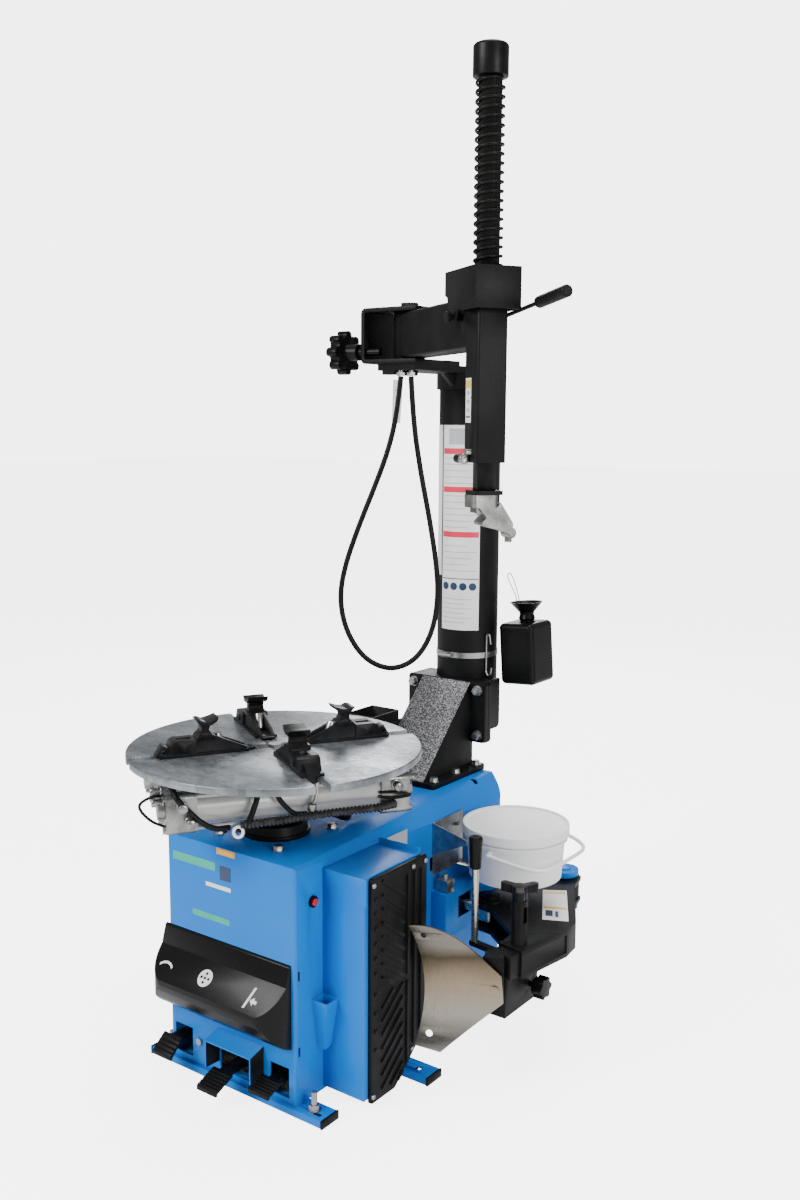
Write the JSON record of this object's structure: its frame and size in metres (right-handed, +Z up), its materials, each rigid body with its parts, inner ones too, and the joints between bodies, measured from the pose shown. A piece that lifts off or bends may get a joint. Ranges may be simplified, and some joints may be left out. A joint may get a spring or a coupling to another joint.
{
  "type": "tire changer machine",
  "caption": "Floor-standing swing-arm tire changer: pedal-driven turntable with sliding jaws, sprung tool shaft on a column, and a side bead breaker arm with a blade.",
  "frame": {"origin": "middle of the machine's footprint on the floor, without the hanging hose", "axes": "+X to the operator's right, towards the bead breaker; +Y to the back, towards the column; +Z up"},
  "size_m": [0.8376, 1.1062, 1.957],
  "materials": {
    "blue_paint": "semi-gloss powder coat",
    "black_paint": "satin powder coat",
    "hammered_paint": "silver and black hammered paint",
    "black_plastic": "moulded, satin",
    "black_rubber": "ribbed, matte",
    "zinc_steel": "zinc plated",
    "table_steel": "galvanised, worn",
    "bright_steel": "ground bright",
    "dark_steel": "blackened",
    "cast_aluminium": "cast and polished",
    "gear_iron": "cast",
    "white_plastic": "moulded, satin",
    "red_plastic": "moulded, gloss"
  },
  "bodies": {
    "base": {"cabinet_shell": "blue_paint", "foot_channels": "blue_paint", "bumper_box": "blue_paint", "breaker_bracket": "blue_paint", "column_saddle": "black_paint", "column_tube": "black_paint", "column_head": "black_paint", "tool_tray": "black_paint", "breaker_cylinder": "black_paint", "motor": "black_paint", "column_bracket": "hammered_paint", "foot_caps": "black_plastic", "pedal_cover": "black_plastic", "panel_fittings": "black_plastic", "rotary_union": "black_plastic", "lube_bottle": "black_plastic", "bottle_funnel": "black_plastic", "bumper_pad": "black_rubber", "drive_belt": "black_rubber", "hanging_hose": "black_rubber", "panel_screws": "zinc_steel", "frame_bolts": "zinc_steel", "clamp_bands": "zinc_steel", "hose_fittings": "zinc_steel", "bucket_bracket": "zinc_steel", "pedal_frame": "bright_steel", "valve_block": "bright_steel", "arm_pivot_bolt": "dark_steel", "gearbox": "gear_iron"},
    "turntable": {"turntable_disc": "table_steel", "turntable_hub": "dark_steel", "clamp_cylinders": "cast_aluminium", "clamp_hoses": "black_rubber"},
    "jaw_1": {"jaw_1": "black_paint"},
    "jaw_2": {"jaw_2": "black_paint"},
    "jaw_3": {"jaw_3": "black_paint"},
    "jaw_4": {"jaw_4": "black_paint"},
    "gearbox_pulley": {"gearbox_pulley": "gear_iron"},
    "motor_pulley": {"motor_pulley": "gear_iron"},
    "swing_arm": {"swing_arm": "black_paint", "lock_housing": "black_paint"},
    "tool": {"tool_shaft": "dark_steel", "return_spring": "dark_steel", "mount_head": "cast_aluminium"},
    "lock_lever": {"lock_lever": "black_paint"},
    "stop_knob": {"stop_knob": "black_plastic"},
    "pedal_left": {"pedal_left": "black_paint"},
    "pedal_centre": {"pedal_centre": "black_paint"},
    "pedal_right": {"pedal_right": "black_paint"},
    "breaker_arm": {"breaker_arm": "black_paint"},
    "slide_bar": {"slide_bar": "black_paint", "breaker_lever": "bright_steel"},
    "breaker_blade": {"breaker_blade": "bright_steel"},
    "t_handle": {"t_handle": "black_paint"},
    "breaker_knob": {"breaker_knob": "black_plastic"},
    "breaker_rod": {"breaker_rod": "bright_steel"},
    "bucket": {"bucket": "white_plastic"},
    "bucket_lid": {"bucket_lid": "white_plastic"},
    "bucket_bail": {"bucket_bail": "white_plastic"},
    "push_button": {"push_button": "red_plastic"}
  },
  "joints": [
    {"name": "turntable_spin", "type": "hinge", "parent": "base", "child": "turntable", "pos_m": [-0.13082, -0.25593, 0.6], "axis": [0, 0, 1], "continuous": true},
    {"name": "jaw_1_slide", "type": "slide", "parent": "turntable", "child": "jaw_1", "axis": [0.8572, -0.515, 0], "range_m": [-0.03, 0.06]},
    {"name": "jaw_2_slide", "type": "slide", "parent": "turntable", "child": "jaw_2", "axis": [0.515, 0.8572, 0], "range_m": [-0.03, 0.06]},
    {"name": "jaw_3_slide", "type": "slide", "parent": "turntable", "child": "jaw_3", "axis": [-0.8572, 0.515, 0], "range_m": [-0.03, 0.06]},
    {"name": "jaw_4_slide", "type": "slide", "parent": "turntable", "child": "jaw_4", "axis": [-0.515, -0.8572, 0], "range_m": [-0.03, 0.06]},
    {"name": "gearbox_pulley_spin", "type": "hinge", "parent": "base", "child": "gearbox_pulley", "pos_m": [-0.25282, -0.19593, 0.4], "axis": [1, 0, 0], "continuous": true},
    {"name": "motor_pulley_spin", "type": "hinge", "parent": "base", "child": "motor_pulley", "pos_m": [-0.25282, -0.21593, 0.17], "axis": [1, 0, 0], "continuous": true},
    {"name": "arm_swing", "type": "hinge", "parent": "base", "child": "swing_arm", "pos_m": [-0.13082, 0.18507, 1.47], "axis": [0, 0, 1], "range_deg": [-56, 50]},
    {"name": "tool_slide", "type": "slide", "parent": "swing_arm", "child": "tool", "axis": [0, 0, -1], "range_m": [0, 0.2], "stiffness_N_per_m": 500, "springref_m": -0.4, "deforming": ["return_spring"]},
    {"name": "lock_lever_turn", "type": "hinge", "parent": "swing_arm", "child": "lock_lever", "pos_m": [0.18528, 0.03773, 1.482], "axis": [0.5505, 0.8348, 0], "range_deg": [-30, 12]},
    {"name": "stop_knob_turn", "type": "hinge", "parent": "base", "child": "stop_knob", "pos_m": [-0.27882, 0.14407, 1.436], "axis": [1, 0, 0], "continuous": true},
    {"name": "pedal_left_press", "type": "hinge", "parent": "base", "child": "pedal_left", "pos_m": [-0.25982, -0.30593, 0.062], "axis": [1, 0, 0], "range_deg": [0, 10], "stiffness_Nm_per_rad": 20, "springref_deg": -17.19},
    {"name": "pedal_centre_press", "type": "hinge", "parent": "base", "child": "pedal_centre", "pos_m": [-0.10582, -0.30593, 0.062], "axis": [1, 0, 0], "range_deg": [0, 10], "stiffness_Nm_per_rad": 20, "springref_deg": -17.19},
    {"name": "pedal_right_press", "type": "hinge", "parent": "base", "child": "pedal_right", "pos_m": [-0.00382, -0.30593, 0.062], "axis": [1, 0, 0], "range_deg": [0, 10], "stiffness_Nm_per_rad": 20, "springref_deg": -17.19},
    {"name": "breaker_swing", "type": "hinge", "parent": "base", "child": "breaker_arm", "pos_m": [0.19918, 0.33407, 0.257], "axis": [0, 0, 1], "range_deg": [0, 35]},
    {"name": "breaker_rod_slide", "type": "slide", "parent": "base", "child": "breaker_rod", "axis": [1, 0, 0], "range_m": [0, 0.14]},
    {"name": "bar_slide", "type": "slide", "parent": "breaker_arm", "child": "slide_bar", "axis": [-0.1513, -0.9885, 0], "range_m": [0, 0.03]},
    {"name": "blade_swivel", "type": "hinge", "parent": "slide_bar", "child": "breaker_blade", "pos_m": [0.29479, -0.11011, 0.219], "axis": [-0.4226, 0.9063, 0], "range_deg": [-2.5, 8]},
    {"name": "t_handle_lift", "type": "slide", "parent": "breaker_arm", "child": "t_handle", "axis": [0, 0, 1], "range_m": [0, 0.025]},
    {"name": "breaker_knob_turn", "type": "hinge", "parent": "breaker_arm", "child": "breaker_knob", "pos_m": [0.32318, 0.01607, 0.18], "axis": [1, 0, 0], "continuous": true},
    {"name": "bucket_lift", "type": "slide", "parent": "base", "child": "bucket", "axis": [0, 0, 1], "range_m": [0, 0.25]},
    {"name": "lid_lift", "type": "slide", "parent": "bucket", "child": "bucket_lid", "axis": [0, 0, 1], "range_m": [0, 0.15]},
    {"name": "bail_turn", "type": "hinge", "parent": "bucket", "child": "bucket_bail", "pos_m": [0.16918, 0.16907, 0.408], "axis": [0, -1, 0], "range_deg": [0, 80]},
    {"name": "button_press", "type": "slide", "parent": "base", "child": "push_button", "axis": [-1, 0, 0], "range_m": [0, 0.004], "stiffness_N_per_m": 300, "springref_m": -0.004}
  ],
  "couplings": [
    {"joint": "jaw_2_slide", "follows": "jaw_1_slide", "ratio": 1},
    {"joint": "jaw_3_slide", "follows": "jaw_1_slide", "ratio": 1},
    {"joint": "jaw_4_slide", "follows": "jaw_1_slide", "ratio": 1},
    {"joint": "gearbox_pulley_spin", "follows": "turntable_spin", "ratio": 30},
    {"joint": "motor_pulley_spin", "follows": "turntable_spin", "ratio": 61.304},
    {"joint": "breaker_rod_slide", "follows": "breaker_swing", "m_per_rad": 0.21965}
  ]
}
